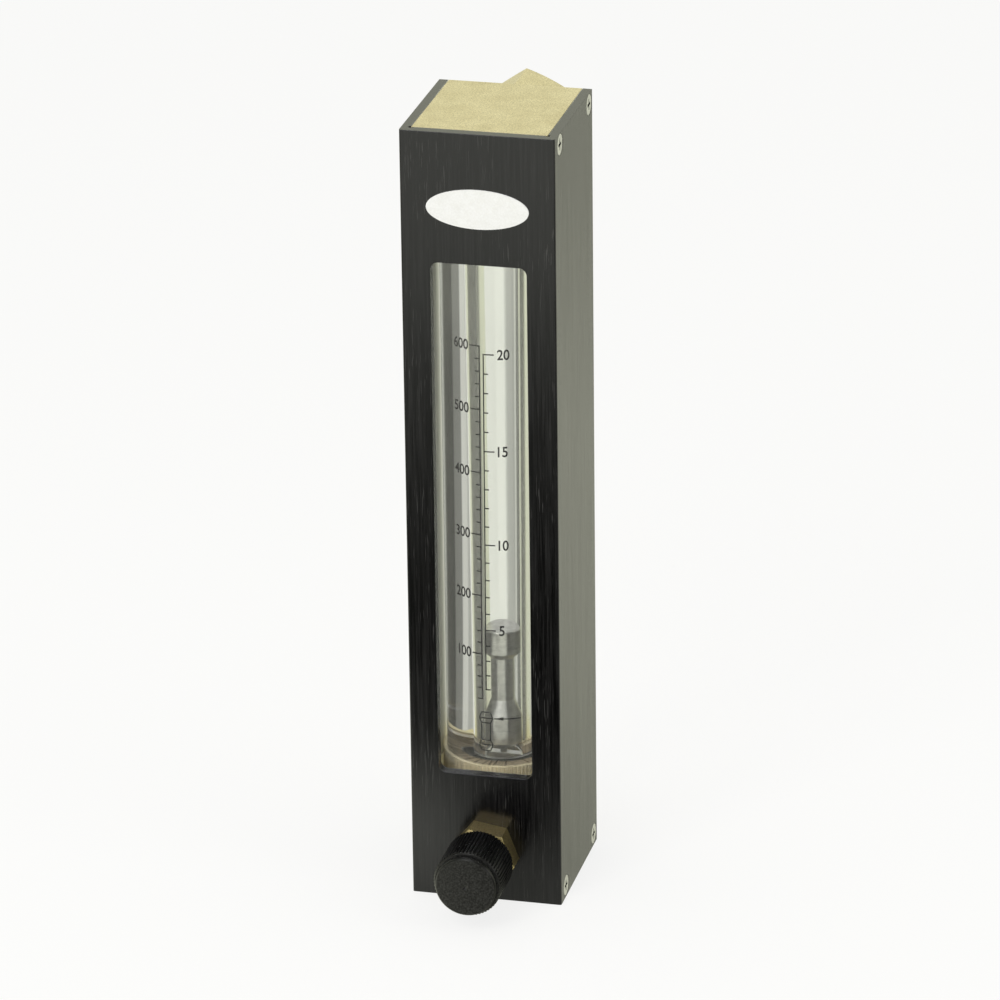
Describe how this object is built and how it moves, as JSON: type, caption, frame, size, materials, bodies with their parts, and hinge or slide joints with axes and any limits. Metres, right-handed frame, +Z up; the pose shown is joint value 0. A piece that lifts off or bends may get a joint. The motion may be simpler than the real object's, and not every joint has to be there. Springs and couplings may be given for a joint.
{
  "type": "rotameter",
  "caption": "Panel rotameter: black channel housing with window, thick glass tube with a spool float, brass end blocks with rear ports, and a front metering valve with fluted knob.",
  "frame": {"origin": "centre of the housing's base", "axes": "+X to the right seen from the front, +Y from the front panel to the back, +Z up along the tube"},
  "size_m": [0.058, 0.1191, 0.305],
  "materials": {
    "black_anodised": "black anodised, brushed lengthwise",
    "brass": "fine matt milled",
    "dark_brass": "tarnished",
    "clear_glass": "clear, polished, printed scale",
    "clear_acrylic": "clear, polished",
    "white_enamel": "gloss white, blank",
    "plated_steel": "bright plated",
    "stainless_steel": "turned",
    "dark_steel": "blackened",
    "bronze_ptfe": "bronze-filled, matt",
    "black_rubber": "smooth",
    "black_plastic": "moulded, fine grain"
  },
  "bodies": {
    "frame": {"housing_channel": "black_anodised", "window_pane": "clear_acrylic", "oval_plate": "white_enamel", "housing_screws": "plated_steel", "inlet_block": "brass", "outlet_block": "brass", "metering_tube": "clear_glass", "lower_tube_gland": "brass", "lower_tube_gasket": "bronze_ptfe", "lower_float_stop": "stainless_steel", "upper_tube_gland": "brass", "upper_tube_gasket": "bronze_ptfe", "upper_float_stop": "stainless_steel", "inlet_fitting": "brass", "inlet_fitting_seal": "black_rubber", "outlet_fitting": "brass", "outlet_fitting_seal": "black_rubber", "valve_bonnet": "dark_brass", "bonnet_seal": "black_rubber", "valve_seat": "stainless_steel"},
    "spool": {"float": "stainless_steel"},
    "stem": {"valve_stem": "stainless_steel", "stem_seal": "black_rubber"},
    "knob": {"control_knob": "black_plastic", "knob_insert": "brass", "knob_set_screw": "dark_steel"}
  },
  "joints": [
    {"name": "float_lift", "type": "slide", "parent": "frame", "child": "spool", "axis": [0, 0, 1], "range_m": [0, 0.145]},
    {"name": "stem_lift", "type": "slide", "parent": "frame", "child": "stem", "axis": [0, -1, 0], "range_m": [0, 0.004]},
    {"name": "knob_turn", "type": "hinge", "parent": "stem", "child": "knob", "pos_m": [0, -0.03, 0.02], "axis": [0, -1, 0], "range_deg": [0, 1800]}
  ],
  "couplings": [
    {"joint": "knob_turn", "follows": "stem_lift", "rad_per_m": 7854}
  ]
}
